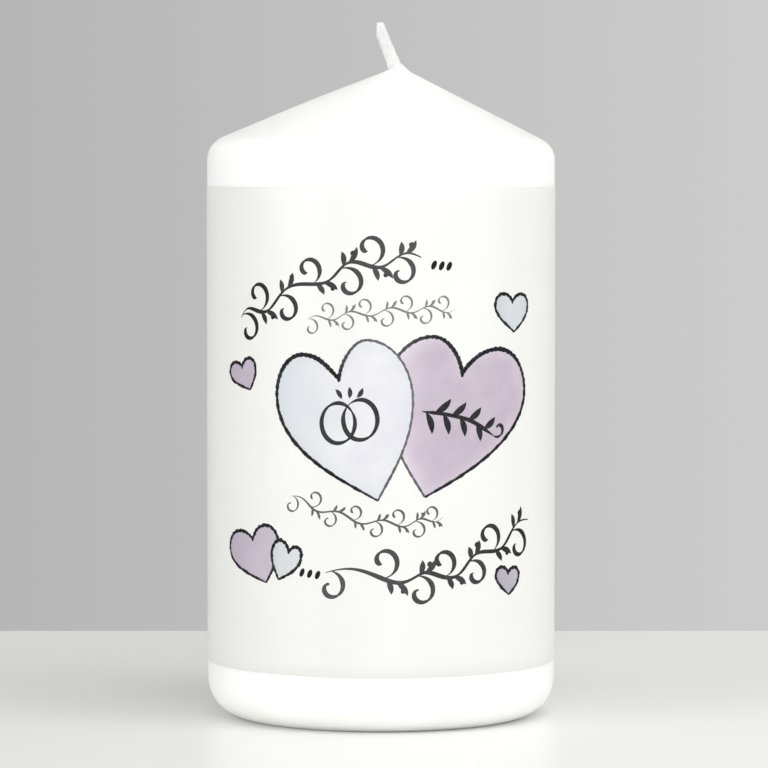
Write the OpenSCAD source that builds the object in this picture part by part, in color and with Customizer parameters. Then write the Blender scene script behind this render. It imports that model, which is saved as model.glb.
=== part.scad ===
// Pillar candle: a pressed wax core in a hard dipped coat, a plaited cotton wick held
// by a stamped sustainer, a film wrap round the side and a paper strip under the base.
// The origin is at the centre of the base, +Z is up, and the print on the wrap faces -Y.

/* [Wax] */
// Diameter of the finished candle
candle_d = 80; // [66:1:100]
// Height of the wax, from the base to the blunt point of the cone
candle_h = 150; // [110:1:220]
// Height of the cone above the corner that it would make with the side
cone_h = 18; // [12:0.5:28]
// How far the point of the cone stands off the axis, along +X
point_shift = 3.2; // [0:0.1:6]
// Radius of the blunt point
point_r = 3; // [2.6:0.1:5]
// Radius that rounds the shoulder
shoulder_r = 6; // [4:0.5:10]
// Radius that rounds the foot
foot_r = 9; // [5:0.5:12]
// Thickness of the hard outer coat
coat_t = 1.8; // [1:0.1:2.5]

/* [Base] */
// How much of the rounded foot is melted flat, so that the candle stands
foot_cut = 0.2; // [0.1:0.05:0.5]
// Width of the flat rim that the candle stands on, round the dish in its base
rim_w = 3; // [2:0.5:5]
// Length of the paper strip in the dish
strip_w = 26; // [16:1:30]
// Radius of the strip's corners
strip_r = 1.5; // [0.5:0.1:2]
// Thickness of the paper
paper_t = 0.12; // [0.08:0.01:0.3]
// Gap between the strip and the rim, and between the strip and the sustainer
strip_gap = 1; // [0.5:0.5:2]

/* [Wick] */
// How far off the axis the wick leaves the point, along +X
wick_shift = 3.2; // [0:0.1:5]
// Length of the wick beyond the point
wick_out = 10.5; // [6:0.5:20]
// Lean of the free wick towards -X
wick_lean = 22; // [5:1:40]
// Radius of the bend where the wick leaves the wax
bend_r = 5; // [4:0.5:7]
// How far below the point the bend starts
bend_sink = 1.5; // [0.5:0.1:2]
// Slope of the cut at the tip, as length for each width
tip_slope = 1.1; // [0:0.1:1.5]
// Radius of one plaited strand
strand_r = 0.29; // [0.22:0.01:0.4]
// Length of one full turn of the plait
plait_pitch = 8; // [6:0.5:12]
// Gap left between two strands where they cross
strand_gap = 0.05; // [0.03:0.01:0.1]
// Thickness of the wax that the wick is primed with
prime_t = 0.15; // [0.1:0.05:0.4]
// Gap between the strands and their wax
prime_gap = 0.05; // [0.04:0.01:0.15]
// Gap between the primed wick and its hole
hole_gap = 0.15; // [0.1:0.05:0.4]
// Height of the wax collar round the wick
collar_h = 2.4; // [1:0.1:4]
// Share of the collar that stands above the point
collar_rise = 0.5; // [0.3:0.05:0.8]
// Radius of the collar where it meets the point
collar_r = 3.4; // [2.6:0.1:4.5]
// Thickness of the collar at its lip
lip_t = 0.15; // [0.1:0.05:0.4]

/* [Sustainer] */
// Diameter of the stamped disc
disc_d = 20; // [14:1:24]
// Thickness of the sheet
sheet_t = 0.3; // [0.2:0.05:0.5]
// Height of the neck above the disc
neck_h = 6; // [3:0.5:10]
// Radius between the neck and the disc
neck_fillet = 0.8; // [0.4:0.1:1.5]
// Depth of the recess for the disc in the core
recess_h = 1.2; // [0.6:0.1:2]
// Gap round the sustainer in the wax
seat_gap = 0.1; // [0.05:0.05:0.3]

/* [Wrap] */
// Gap from the top of the rounded foot to the film
wrap_low_gap = 4.2; // [1:0.1:20]
// Gap from the film to the start of the rounded shoulder
wrap_high_gap = 6.1; // [1:0.1:40]
// Thickness of the film
film_t = 0.12; // [0.08:0.01:0.3]
// Thickness of the adhesive under the film
glue_t = 0.03; // [0.02:0.01:0.05]
// Width of the overlap at the back
overlap_w = 8; // [4:0.5:15]
// Share of its own thickness that the film sinks into itself where it laps
lap_bond = 0.5; // [0.2:0.1:0.8]

/* [Hidden] */
body_fn = 72;
edge_fn = 24;
bore_fn = 48;
strand_fn = 6;
sleeve_fn = 16;
sleeve_step = 0.8;
cut_margin = 1;
steps_a_turn = 12;

body_r = candle_d / 2;
cone_angle = atan(cone_h / body_r);
foot_z = foot_r - foot_cut;
core_z = coat_t - foot_cut;
rim_r = body_r - foot_r + sqrt(pow(foot_r, 2) - pow(foot_z, 2));
dish_r = rim_r - rim_w;
shoulder_z = candle_h - cone_h - shoulder_r * tan((90 - cone_angle) / 2);

// The strands have steps_a_turn stations a turn, so every crossing is at a station. Between
// stations they run straight, which brings two of them nearer by chord_share, and
// their path bulges at the corners to corner_share of its thickness.
plait_step = plait_pitch / steps_a_turn;
chord_share = sqrt(0.8);
corner_share = 1.14;
plait_t = (2 * strand_r + strand_gap) / (sqrt(3) * chord_share);
plait_w = 2 * plait_t;
sleeve_gap_t = corner_share * plait_t + strand_r + prime_gap;
sleeve_gap_w = plait_w - plait_t + sleeve_gap_t;
sleeve_t = sleeve_gap_t + prime_t;
sleeve_w = sleeve_gap_w + prime_t;

disc_z = core_z + recess_h - sheet_t;
wick_z = disc_z;
neck_top = disc_z + sheet_t + neck_h;
wick_tilt = atan(wick_shift / candle_h);
hole_r = sleeve_w + hole_gap;
neck_in_r = sleeve_w + neck_top * tan(wick_tilt) + hole_gap;
neck_out_r = neck_in_r + sheet_t;
pocket_r = neck_out_r + seat_gap;

wax_len = (candle_h - bend_sink - wick_z) / cos(wick_tilt);
bend_angle = wick_lean + wick_tilt;
bend_len = bend_r * bend_angle * PI / 180;
bend_rate = -bend_angle / bend_len;
wick_len = wax_len + bend_sink + wick_out;

wrap_z = foot_z + wrap_low_gap;
wrap_h = shoulder_z - wrap_high_gap - wrap_z;
wrap_in_r = body_r + glue_t;
overlap_angle = overlap_w / wrap_in_r * 180 / PI;
strip_in = disc_d / 2 + seat_gap + strip_gap;
strip_out = sqrt(pow(dish_r - strip_gap, 2) - pow(strip_w / 2, 2));
strip_h = strip_out - strip_in;

STRANDS = [1, 2, 3];

// A point after length s of an arc that starts at p, heading a degrees from +Z
// towards +X, and turns by rate degrees a millimetre.
function along_arc(p, a, rate, s) = rate == 0
    ? p + s * [sin(a), cos(a)]
    : p + [cos(a) - cos(a + rate * s), sin(a + rate * s) - sin(a)] * 180 / (PI * rate);

// The wick's centre line in the XZ plane: straight through the wax, a tight bend
// where it leaves the wax, and straight to its tip.
wick_start = [wick_z * tan(wick_tilt), wick_z];
bend_start = along_arc(wick_start, wick_tilt, 0, wax_len);
bend_end = along_arc(bend_start, wick_tilt, bend_rate, bend_len);
function wick_centre(s) =
    s < wax_len ? along_arc(wick_start, wick_tilt, 0, s)
    : s < wax_len + bend_len ? along_arc(bend_start, wick_tilt, bend_rate, s - wax_len)
    : along_arc(bend_end, -wick_lean, 0, s - wax_len - bend_len);
function wick_heading(s) =
    s < wax_len ? wick_tilt
    : s < wax_len + bend_len ? wick_tilt + bend_rate * (s - wax_len)
    : -wick_lean;

// A point of the wick at length s, u across its width and v through its thickness.
function wick_point(s, u, v) =
    let (c = wick_centre(s), a = wick_heading(s))
    [c[0] + u * cos(a), v, c[1] - u * sin(a)];

// The wick is cut off at a slope, so its far side from the lean is the longest.
function cut_s(u) = wick_len - tip_slope * (sleeve_w - u);
square_s = cut_s(-sleeve_w) - cut_margin;

// Stations for a strand, from its foot to just beyond the tip.
plait_stations = [for (i = [0:ceil(wick_len / plait_step)]) i * plait_step];

// Stations for the sleeve: none inside the wax, where it is straight.
function sleeve_stations() =
    let (n = ceil((square_s - wax_len) / sleeve_step))
    concat([0], [for (i = [0:n]) wax_len + (square_s - wax_len) * i / n]);

// A stadium outline with its width along u.
function stadium(half_w, half_t) = [
    for (i = [0:sleeve_fn - 1])
        let (a = (i + 0.5) * 360 / sleeve_fn, side = cos(a) > 0 ? 1 : -1)
        [side * (half_w - half_t) + half_t * cos(a), half_t * sin(a)]
];

// Three strands plait as x = sin(t) and y = sin(2t), a third of a turn apart.
function strand_outline(k, s) =
    let (t = 360 * (s / plait_pitch + k / 3))
    [for (i = [0:strand_fn - 1])
        let (a = i * 360 / strand_fn)
        [plait_w * sin(t) + strand_r * cos(a), plait_t * sin(2 * t) + strand_r * sin(a)]];

function ring(outline, s) = [for (p = outline) wick_point(s, p[0], p[1])];
function cut_ring(outline) = [for (p = outline) wick_point(cut_s(p[0]), p[0], p[1])];

// What the slanted cut takes off the strands.
module off_cut() {
    size = 6 * sleeve_w;
    translate(wick_point(wick_len, sleeve_w, 0))
        rotate([0, -wick_lean - atan(tip_slope), 0])
            translate([-size / 2, -size / 2, 0])
                cube(size);
}

// Faces between rings of n points, from the ring at first to the ring at second.
function band(n, first, second) = [
    for (i = [0:n - 1])
        let (j = (i + 1) % n)
        each [[first + i, second + i, second + j], [first + i, second + j, first + j]]
];
function fan(n, first) = [for (i = [1:n - 2]) [first, first + i, first + i + 1]];
function turned(faces) = [for (f = faces) [f[2], f[1], f[0]]];

module tube_ring(z, r, tube_r) {
    translate([0, 0, z])
        rotate_extrude($fn = body_fn)
            translate([r - tube_r, 0])
                circle(r = tube_r, $fn = edge_fn);
}

// The candle's outside, moved inwards by inset: rounded at the foot and the shoulder,
// with a blunt cone whose point is off the axis, and melted flat at the base.
module wax_form(inset) {
    point_z = candle_h - point_r;
    difference() {
        hull() {
            tube_ring(foot_z, body_r - inset, foot_r - inset);
            tube_ring(shoulder_z, body_r - inset, shoulder_r - inset);
            translate([point_shift, 0, point_z])
                sphere(r = point_r - inset, $fn = edge_fn);
        }
        translate([0, 0, -foot_r / 2])
            cube([candle_d, candle_d, foot_r], center = true);
    }
}

// The hole that the wick runs in, from under the base to above the point. Its mouth
// leans with the wick from the corner of the bend, and is a little wider.
module wick_hole() {
    corner_h = (candle_h - bend_sink) / cos(wick_tilt) + bend_r * tan(bend_angle / 2);
    mitre = hole_r * tan(bend_angle / 2);
    rotate([0, wick_tilt, 0]) {
        translate([0, 0, -cut_margin])
            cylinder(r = hole_r, h = corner_h + mitre + cut_margin, $fn = bore_fn);
        translate([0, 0, corner_h])
            rotate([0, -bend_angle, 0])
                translate([0, 0, -mitre])
                    cylinder(r = hole_r + hole_gap / 2, h = mitre + bend_sink + collar_h, $fn = bore_fn);
    }
}

module wax_core() {
    color("ivory")
    difference() {
        wax_form(coat_t);
        cylinder(r = disc_d / 2 + seat_gap, h = core_z + recess_h, $fn = bore_fn);
        cylinder(r = pocket_r + neck_fillet, h = core_z + recess_h + neck_fillet, $fn = bore_fn);
        cylinder(r = pocket_r, h = neck_top + seat_gap, $fn = bore_fn);
        wick_hole();
    }
}

module dipped_coat() {
    color("white")
    difference() {
        union() {
            wax_form(0);
            rotate([0, wick_tilt, 0])
                translate([0, 0, candle_h - collar_h * (1 - collar_rise)])
                    cylinder(r1 = collar_r, r2 = hole_r + lip_t, h = collar_h, $fn = bore_fn);
        }
        wax_form(coat_t);
        translate([0, 0, -cut_margin])
            cylinder(r = dish_r, h = foot_z, $fn = body_fn);
        wick_hole();
    }
}

module wick_strand(k) {
    rings = [for (s = plait_stations) ring(strand_outline(k, s), s)];
    n = strand_fn;
    last = len(rings) - 1;
    color("cornsilk")
        difference() {
            polyhedron(
                points = [for (r = rings) each r],
                faces = concat(
                    fan(n, 0),
                    [for (i = [0:last - 1]) each band(n, i * n, (i + 1) * n)],
                    turned(fan(n, last * n))
                )
            );
            off_cut();
        }
}

module wick_prime_wax() {
    steps = sleeve_stations();
    inner = stadium(sleeve_gap_w, sleeve_gap_t);
    outer = stadium(sleeve_w, sleeve_t);
    outside = concat([for (s = steps) ring(outer, s)], [cut_ring(outer)]);
    inside = concat([for (s = steps) ring(inner, s)], [cut_ring(inner)]);
    n = sleeve_fn;
    far = len(outside) * n;
    last = len(steps) * n;
    color("mintcream")
        polyhedron(
            points = [for (r = concat(outside, inside)) each r],
            faces = concat(
                [for (i = [0:len(steps) - 1]) each band(n, i * n, (i + 1) * n)],
                [for (i = [0:len(steps) - 1]) each turned(band(n, far + i * n, far + (i + 1) * n))],
                turned(band(n, 0, far)),
                band(n, last, far + last)
            )
        );
}

// One stamping: a flat disc with a neck that is crimped on the wick.
module wick_sustainer() {
    color("silver")
    translate([0, 0, disc_z])
        rotate_extrude($fn = bore_fn) {
            translate([neck_in_r, 0])
                square([disc_d / 2 - neck_in_r, sheet_t]);
            translate([neck_in_r, 0])
                square([sheet_t, sheet_t + neck_h]);
            difference() {
                translate([neck_out_r, sheet_t])
                    square(neck_fillet);
                translate([neck_out_r + neck_fillet, sheet_t + neck_fillet])
                    circle(r = neck_fillet, $fn = edge_fn);
            }
        }
}

// Film round the side, lapped over its own end at the back.
module print_wrap() {
    color("whitesmoke")
    translate([0, 0, wrap_z]) {
        rotate_extrude($fn = body_fn)
            translate([wrap_in_r, 0])
                square([film_t, wrap_h]);
        rotate([0, 0, 90 - overlap_angle / 2])
            rotate_extrude(angle = overlap_angle, $fn = body_fn)
                translate([wrap_in_r + film_t * (1 - lap_bond), 0])
                    square([film_t * (1 + lap_bond), wrap_h]);
    }
}

// Paper strip in the dish, in front of the sustainer.
module base_strip() {
    color("snow")
    translate([0, -(strip_in + strip_out) / 2, core_z - paper_t])
        linear_extrude(paper_t) {
            square([strip_w, strip_h - 2 * strip_r], center = true);
            square([strip_w - 2 * strip_r, strip_h], center = true);
            for (x = [-1, 1], y = [-1, 1])
                translate([x * (strip_w / 2 - strip_r), y * (strip_h / 2 - strip_r)])
                    circle(r = strip_r, $fn = edge_fn);
        }
}

wax_core();
dipped_coat();
wick_prime_wax();
wick_sustainer();
print_wrap();
base_strip();
for (k = STRANDS)
    wick_strand(k);
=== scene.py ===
import math
import bpy
import numpy as np
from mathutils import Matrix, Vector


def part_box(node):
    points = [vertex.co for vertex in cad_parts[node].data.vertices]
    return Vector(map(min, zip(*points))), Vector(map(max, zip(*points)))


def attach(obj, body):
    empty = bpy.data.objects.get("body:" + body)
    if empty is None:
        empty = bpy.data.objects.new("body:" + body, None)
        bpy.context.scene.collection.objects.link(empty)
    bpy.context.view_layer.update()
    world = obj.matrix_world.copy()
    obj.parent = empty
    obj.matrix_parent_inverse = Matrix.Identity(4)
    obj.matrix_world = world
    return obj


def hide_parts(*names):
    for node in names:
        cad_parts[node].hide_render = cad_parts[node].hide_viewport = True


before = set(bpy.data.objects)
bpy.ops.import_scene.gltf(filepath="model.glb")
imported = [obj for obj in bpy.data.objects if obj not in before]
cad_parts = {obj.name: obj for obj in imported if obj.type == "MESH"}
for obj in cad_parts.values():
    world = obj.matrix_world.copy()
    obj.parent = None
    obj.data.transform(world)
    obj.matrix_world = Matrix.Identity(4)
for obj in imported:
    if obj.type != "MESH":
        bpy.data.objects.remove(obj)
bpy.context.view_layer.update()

mm = 0.001
fullTurn = 2 * np.pi
up = np.array([0, 0, 1.0])
scene = bpy.context.scene
print("frame loaded:", len(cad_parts), "nodes")


def facingOut(places, quads, triangles):
    # Turns every face of a closed part round if its signed volume is below nought.
    corners = np.concatenate([quads[:, :3], quads[:, [0, 2, 3]], triangles])
    a, b, c = places[corners].transpose(1, 0, 2)
    if np.einsum("ij,ij->", a, np.cross(b, c)) < 0:
        return places, quads[:, ::-1], triangles[:, ::-1]
    return places, quads, triangles


def gridPart(points, closeRows=False, closeColumns=True, caps=False):
    # A closed surface over a grid of points (rows, columns, 3): each cell is a quad, a closed
    # direction joins its last line to its first, and a cap is a fan round a middle point.
    rows, columns = points.shape[:2]
    index = np.arange(rows * columns).reshape(rows, columns)
    above = index if closeRows else index[:-1]
    below = np.roll(index, -1, axis=0) if closeRows else index[1:]
    if closeColumns:
        corners = [above, np.roll(above, -1, axis=1), np.roll(below, -1, axis=1), below]
    else:
        corners = [above[:, :-1], above[:, 1:], below[:, 1:], below[:, :-1]]
    quads = np.stack(corners, axis=-1).reshape(-1, 4)
    places = points.reshape(-1, 3)
    triangles = np.empty((0, 3), int)
    if caps:
        total = len(places)
        places = np.concatenate([places, [points[0].mean(axis=0), points[-1].mean(axis=0)]])
        first, last = index[0], index[-1]
        triangles = np.concatenate([
            np.stack([np.roll(first, -1), first, np.full(columns, total)], axis=-1),
            np.stack([last, np.roll(last, -1), np.full(columns, total + 1)], axis=-1),
        ])
    return facingOut(places, quads, triangles)


def addPiece(name, parts, material, replaced=(), sharpAngle=None, fade=None):
    # One piece from several parts, with their points and faces one after another.
    starts = np.cumsum([0] + [len(part[0]) for part in parts])
    places = np.concatenate([part[0] for part in parts])
    quads = np.concatenate([part[1] + start for part, start in zip(parts, starts)])
    triangles = np.concatenate([part[2] + start for part, start in zip(parts, starts)])
    mesh = bpy.data.meshes.new(name)
    mesh.from_pydata(places.tolist(), [], quads.tolist() + triangles.tolist())
    mesh.polygons.foreach_set("use_smooth", np.ones(len(mesh.polygons), bool))
    if sharpAngle is not None:
        mesh.set_sharp_from_angle(angle=math.radians(sharpAngle))
    mesh.update()
    if fade is not None:
        layer = mesh.attributes.new("fade", "FLOAT", "POINT")
        layer.data.foreach_set("value", np.concatenate(fade).astype(np.float32))
    mesh.materials.append(material)
    piece = bpy.data.objects.new(name, mesh)
    scene.collection.objects.link(piece)
    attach(piece, "root")
    if replaced:
        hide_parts(*replaced)
    print(name, "made:", len(mesh.polygons), "faces")


def wholeTurn(count):
    return np.linspace(0, fullTurn, count, endpoint=False)


def outwards(theta):
    # The level directions away from the axis.
    return np.stack([np.cos(theta), np.sin(theta), 0 * theta], axis=-1)


def smoothStep(t):
    t = np.clip(t, 0, 1)
    return t * t * (3 - 2 * t)


def waves(t, seed, count=5):
    # Smooth noise from -1 to 1: a sum of sines with seeded phases, each finer and weaker.
    phases = np.random.default_rng(seed).uniform(0, fullTurn, count)
    steps = np.arange(1, count + 1)
    total = sum(np.sin(t * (k * 1.7 - 0.4) + p) / k for k, p in zip(steps, phases))
    return total / sum(1 / steps)


def ringWaves(theta, z, seed, around=4, upright=0.12 / mm):
    # Smooth noise on a round side, which closes on itself round the axis.
    phases = np.random.default_rng(seed).uniform(0, fullTurn, (around, 2))
    rings = [np.sin(k * theta + p[0] + 1.3 * np.sin(upright * z / k + p[1])) / k
             for k, p in zip(range(1, around + 1), phases)]
    return sum(rings) / sum(1 / k for k in range(1, around + 1))


def newMaterial(name, roughness, **fixed):
    # A Principled material with its fixed values on its own sockets.
    material = bpy.data.materials.new(name)
    material.use_nodes = True
    shader = material.node_tree.nodes["Principled BSDF"]
    shader.inputs["Roughness"].default_value = roughness
    for socket, value in fixed.items():
        shader.inputs[socket.replace("_", " ")].default_value = value
    return material, material.node_tree, shader


def objectPlace(tree):
    return tree.nodes.new("ShaderNodeTexCoord").outputs["Object"]


def noise(tree, scale, detail=3.0, roughness=0.5, stretch=None):
    # Noise over Object coordinates, in cycles a metre; stretch scales each axis.
    texture = tree.nodes.new("ShaderNodeTexNoise")
    texture.inputs["Scale"].default_value = scale
    texture.inputs["Detail"].default_value = detail
    texture.inputs["Roughness"].default_value = roughness
    place = objectPlace(tree)
    if stretch:
        mapping = tree.nodes.new("ShaderNodeMapping")
        mapping.inputs["Scale"].default_value = stretch
        tree.links.new(place, mapping.inputs["Vector"])
        place = mapping.outputs["Vector"]
    tree.links.new(place, texture.inputs["Vector"])
    return texture.outputs["Fac"]


def remap(tree, value, low, high, fromLow=0.3, fromHigh=0.7):
    node = tree.nodes.new("ShaderNodeMapRange")
    ends = {"From Min": fromLow, "From Max": fromHigh, "To Min": low, "To Max": high}
    for socket, number in ends.items():
        node.inputs[socket].default_value = number
    tree.links.new(value, node.inputs["Value"])
    return node.outputs["Result"]


def blendColours(tree, factor, first, second):
    # Mixes two colours by factor; each is a colour or another node's output.
    node = tree.nodes.new("ShaderNodeMix")
    node.data_type = "RGBA"
    tree.links.new(factor, node.inputs["Factor"])
    for socket, colour in ((node.inputs[6], first), (node.inputs[7], second)):
        if isinstance(colour, tuple):
            socket.default_value = (*colour, 1)
        else:
            tree.links.new(colour, socket)
    return node.outputs[2]


def paint(tree, shader, factor, first, second):
    # Blends two colours into the base colour.
    tree.links.new(blendColours(tree, factor, first, second), shader.inputs["Base Color"])


def bump(tree, shader, bumps):
    # Bumps in a row, each a height, its strength and its depth in metres.
    normal = None
    for height, strength, depth in bumps:
        node = tree.nodes.new("ShaderNodeBump")
        node.inputs["Strength"].default_value = strength
        node.inputs["Distance"].default_value = depth
        tree.links.new(height, node.inputs["Height"])
        if normal:
            tree.links.new(normal, node.inputs["Normal"])
        normal = node.outputs["Normal"]
    tree.links.new(normal, shader.inputs["Normal"])


def attribute(tree, name):
    node = tree.nodes.new("ShaderNodeAttribute")
    node.attribute_name = name
    return node.outputs["Fac"]


def waxFinish(name, bright, shade, roughness, pitDepth=0.05 * mm):
    # Paraffin: soft light inside, faint cloudy patches, a low uneven sheen and fine pits.
    material, tree, shader = newMaterial(
        name, roughness, Subsurface_Weight=0.35, Subsurface_Scale=0.003, IOR=1.44)
    shader.inputs["Subsurface Radius"].default_value = (1.0, 0.92, 0.8)
    clouds = noise(tree, 55, 4)
    paint(tree, shader, remap(tree, clouds, 0, 1), shade, bright)
    sheen = noise(tree, 140, 3)
    tree.links.new(remap(tree, sheen, roughness - 0.06, roughness + 0.1), shader.inputs["Roughness"])
    bump(tree, shader, [(noise(tree, 70, 2), 0.25, 0.3 * mm), (noise(tree, 1300, 3), 0.12, pitDepth)])
    return material


def coreFinish():
    # Pressed wax granules: pale grains with darker joints between them.
    material, tree, shader = newMaterial("pressedWax", 0.6, Subsurface_Weight=0.3, Subsurface_Scale=0.002)
    shader.inputs["Subsurface Radius"].default_value = (1.0, 0.9, 0.75)
    grains = tree.nodes.new("ShaderNodeTexVoronoi")
    grains.inputs["Scale"].default_value = 620
    tree.links.new(objectPlace(tree), grains.inputs["Vector"])
    joints = remap(tree, grains.outputs["Distance"], 0, 1, 0.3, 0.75)
    paint(tree, shader, joints, (0.87, 0.86, 0.82), (0.76, 0.75, 0.7))
    bump(tree, shader, [
        (grains.outputs["Distance"], -0.5, 0.25 * mm),
        (noise(tree, 2500, 3), 0.2, 0.05 * mm),
    ])
    return material


def filmFinish():
    # White satin film: an even face with faint rolling marks and a fine orange peel.
    material, tree, shader = newMaterial("satinFilm", 0.42, IOR=1.5)
    tone = remap(tree, noise(tree, 40, 3, stretch=(1, 1, 0.3)), 0, 1)
    paint(tree, shader, tone, (0.725, 0.725, 0.70), (0.75, 0.75, 0.73))
    tree.links.new(remap(tree, noise(tree, 90, 2), 0.36, 0.5), shader.inputs["Roughness"])
    bump(tree, shader, [
        (noise(tree, 45, 2, stretch=(1, 1, 0.25)), 0.12, 0.15 * mm),
        (noise(tree, 3200, 2), 0.06, 0.02 * mm),
    ])
    return material


def inkFinish(name, dark, light, roughness=0.5):
    # Pen ink with a dry grain, from dark to light by the stroke's fade: partly its own tone, partly painted
    # highlight.
    material, tree, shader = newMaterial(name, roughness, Specular_IOR_Level=0.15)
    grain = remap(tree, noise(tree, 2600, 3, 0.6), -0.12, 0.12)
    both = tree.nodes.new("ShaderNodeMath")
    both.operation = "ADD"
    both.use_clamp = True
    tree.links.new(attribute(tree, "fade"), both.inputs[0])
    tree.links.new(grain, both.inputs[1])
    paint(tree, shader, both.outputs[0], dark, light)
    bump(tree, shader, [(noise(tree, 3800, 2), 0.15, 0.02 * mm)])
    return material


def washFinish(name, pale, deep, shadow):
    # Colour wash: cloudy between pale and deep, and shadowed by the piece's own fade.
    material, tree, shader = newMaterial(name, 0.45)
    clouds = remap(tree, noise(tree, 130, 3, 0.55), 0, 1, 0.35, 0.68)
    wash = blendColours(tree, clouds, pale, deep)
    paint(tree, shader, attribute(tree, "fade"), wash, shadow)
    tree.links.new(remap(tree, noise(tree, 90, 2), 0.38, 0.52), shader.inputs["Roughness"])
    bump(tree, shader, [(noise(tree, 3200, 2), 0.06, 0.02 * mm)])
    return material


def cottonFinish():
    # Bleached cotton: fine fibres along the yarn.
    material, tree, shader = newMaterial("cottonYarn", 0.85, Sheen_Weight=0.3, Sheen_Roughness=0.5)
    fibres = noise(tree, 4200, 4, 0.6, stretch=(1, 1, 0.2))
    paint(tree, shader, remap(tree, fibres, 0, 1), (0.68, 0.65, 0.58), (0.86, 0.84, 0.78))
    bump(tree, shader, [(fibres, 0.6, 0.06 * mm)])
    return material


def tinFinish():
    # Tinplate: bright metal with rolling lines one way and dull spots.
    material, tree, shader = newMaterial("tinplate", 0.32, Metallic=1.0)
    lines = noise(tree, 900, 3, 0.6, stretch=(0.05, 1, 1))
    paint(tree, shader, remap(tree, lines, 0, 1), (0.62, 0.62, 0.60), (0.78, 0.78, 0.77))
    tree.links.new(remap(tree, noise(tree, 260, 3), 0.24, 0.46), shader.inputs["Roughness"])
    bump(tree, shader, [(lines, 0.1, 0.02 * mm)])
    return material


def paperFinish():
    # Uncoated paper: warm white with fibres.
    material, tree, shader = newMaterial("whitePaper", 0.8)
    fibres = noise(tree, 1500, 5, 0.65)
    paint(tree, shader, remap(tree, fibres, 0, 1), (0.78, 0.77, 0.73), (0.88, 0.87, 0.84))
    bump(tree, shader, [(fibres, 0.3, 0.03 * mm)])
    return material


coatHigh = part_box("dipped_coat")[1]
coreLow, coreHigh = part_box("wax_core")
wrapLow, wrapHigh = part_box("print_wrap")
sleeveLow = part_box("wick_prime_wax")[0]
bodyRadius = coatHigh[0]
coatThickness = bodyRadius - coreHigh[0]

wick = {
    "bendRadius": 5 * mm,
    "bendSink": 1.5 * mm,       # how far below the point the bend starts
    "lean": 22,                 # degrees towards -X
    "freeLength": 10.35 * mm,
    "footShift": 3.2 * mm,      # how far off the axis it leaves the cone
    "collarRise": 1.2 * mm,     # what the collar stands above the point
    "strandRadius": 0.31 * mm,
    "strandGap": 0.05 * mm,
    "pitch": 8 * mm,            # one full turn of the plait
    "primeWax": 0.2 * mm,
    "filling": 0.86,            # share of the hollows between strands that wax fills
    "spread": 0.22 * mm,        # how much wider it is where it leaves the wax
    "cutLength": 2.9 * mm,      # how far down the slanted cut reaches
    "tipWidth": 1.45 * mm,      # what the cut leaves nearly level at the tip
    "tipLevel": 0.8,            # share of the lean that this level part makes up for
    "edgeRound": 0.16 * mm,
    "ringStep": 0.6 * mm,
    "around": 44,
    "strandClearance": 0.04 * mm,
    "strandShare": 0.92,        # of its radius, which leaves room for its yarns
    "yarns": 5,
    "yarnDepth": 0.09,          # share of the radius
    "yarnTwist": 3.5 * mm,      # one full turn of the yarns
    "strandStep": 0.33 * mm,
    "strandRound": 0.2 * mm,
    "strandShort": 0.08 * mm,   # how far a strand stops below the cut
}

candleTop = coatHigh[2] - wick["collarRise"]
wickTilt = math.atan(wick["footShift"] / candleTop)
wickLean = math.radians(wick["lean"])
wickInside = (candleTop - wick["bendSink"] - sleeveLow[2]) / math.cos(wickTilt)
wickBend = wick["bendRadius"] * (wickLean + wickTilt)
wickLength = wickInside + wick["bendSink"] + wick["freeLength"]
plaitThick = (2 * wick["strandRadius"] + wick["strandGap"]) / (math.sqrt(3) * math.sqrt(0.8))
plaitWidth = 2 * plaitThick
wickHalfWidth = plaitWidth + wick["strandRadius"] + wick["primeWax"]


def wickPlace(along, across, through):
    # A point of the wick: along its middle line, across its width in the XZ plane and
    # through its thickness in Y. The line is straight, then an arc, then straight.
    inArc = np.clip(along - wickInside, 0, wickBend)
    beyond = np.clip(along - wickInside - wickBend, 0, None)
    before = np.minimum(along, wickInside)
    heading = wickTilt - inArc / wick["bendRadius"]
    x = (sleeveLow[2] + before * math.cos(wickTilt)) * math.tan(wickTilt) - beyond * math.sin(wickLean)
    z = sleeveLow[2] + before * math.cos(wickTilt) + beyond * math.cos(wickLean)
    x = x + wick["bendRadius"] * (np.cos(heading) - math.cos(wickTilt))
    z = z + wick["bendRadius"] * (math.sin(wickTilt) - np.sin(heading))
    return np.stack([x + across * np.cos(heading), through + 0 * x, z - across * np.sin(heading)], axis=-1)


def strandMiddle(along, strand):
    # Three strands plait as across = sin(t) and through = sin(2t), a third of a turn apart.
    turn = fullTurn * (along / wick["pitch"] + strand / 3)
    return plaitWidth * np.sin(turn), plaitThick * np.sin(2 * turn)


def stadiumReach(angle, halfWidth, halfThickness):
    # How far a stadium reaches in each direction: its flat sides, then its round ends.
    straight = halfWidth - halfThickness
    cosine, sine = np.abs(np.cos(angle)), np.maximum(np.abs(np.sin(angle)), 1e-9)
    ends = straight * cosine + np.sqrt(np.maximum(halfThickness**2 - (straight * sine)**2, 0))
    return np.where(halfThickness * cosine <= straight * sine, halfThickness / sine, ends)


def plaitReach(along, angle, radius):
    # How far the plait reaches in each direction: a smooth union of three round strands,
    # whose edge is found by halving, filled up towards the stadium round them all.
    near = np.zeros(np.broadcast(along, angle).shape)
    far = np.full(near.shape, 2.5 * mm)
    middles = [strandMiddle(along, k) for k in (1, 2, 3)]
    sharpness = 6 / mm
    for _ in range(20):
        reach = (near + far) / 2
        x, y = reach * np.cos(angle), reach * np.sin(angle)
        field = sum(np.exp(-sharpness * (np.hypot(x - u, y - v) - radius)) for u, v in middles)
        near, far = np.where(field > 1, reach, near), np.where(field > 1, far, reach)
    around = stadiumReach(angle, plaitWidth + radius, plaitThick + radius)
    return reach + wick["filling"] * (around - reach)


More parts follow.
